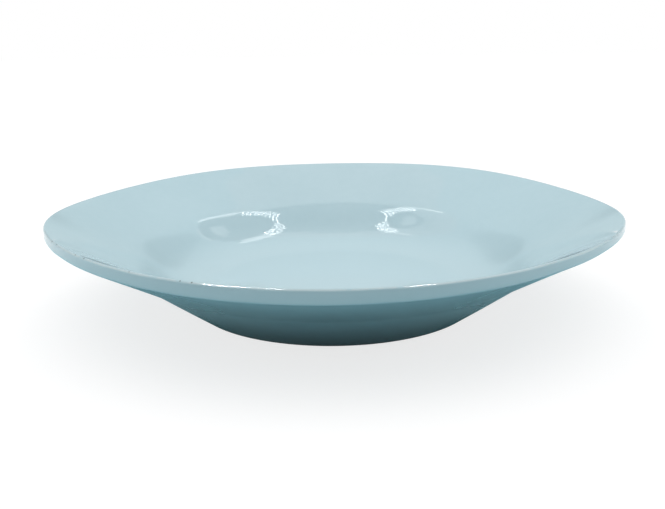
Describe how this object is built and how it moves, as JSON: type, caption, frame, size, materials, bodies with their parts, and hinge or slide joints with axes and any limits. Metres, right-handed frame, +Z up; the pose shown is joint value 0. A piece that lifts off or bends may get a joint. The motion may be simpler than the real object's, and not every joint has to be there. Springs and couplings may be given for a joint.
{
  "type": "pasta bowl",
  "caption": "Wide shallow stoneware pasta bowl with a broad flared rim, thick upright lip, dished well and low bare foot ring, glazed in glossy pale duck-egg blue.",
  "frame": {"origin": "middle of the foot ring, on the surface that the bowl stands on", "axes": "+Z up, along the axis that the bowl is turned about; X and Y are free, because the bowl is round"},
  "size_m": [0.27, 0.27, 0.0465],
  "materials": {
    "stoneware": "bare, matt",
    "blue_glaze": "gloss"
  },
  "bodies": {
    "root": {"clay_body": "stoneware", "inside_glaze": "blue_glaze", "outside_glaze": "blue_glaze", "base_glaze": "blue_glaze"}
  },
  "joints": []
}
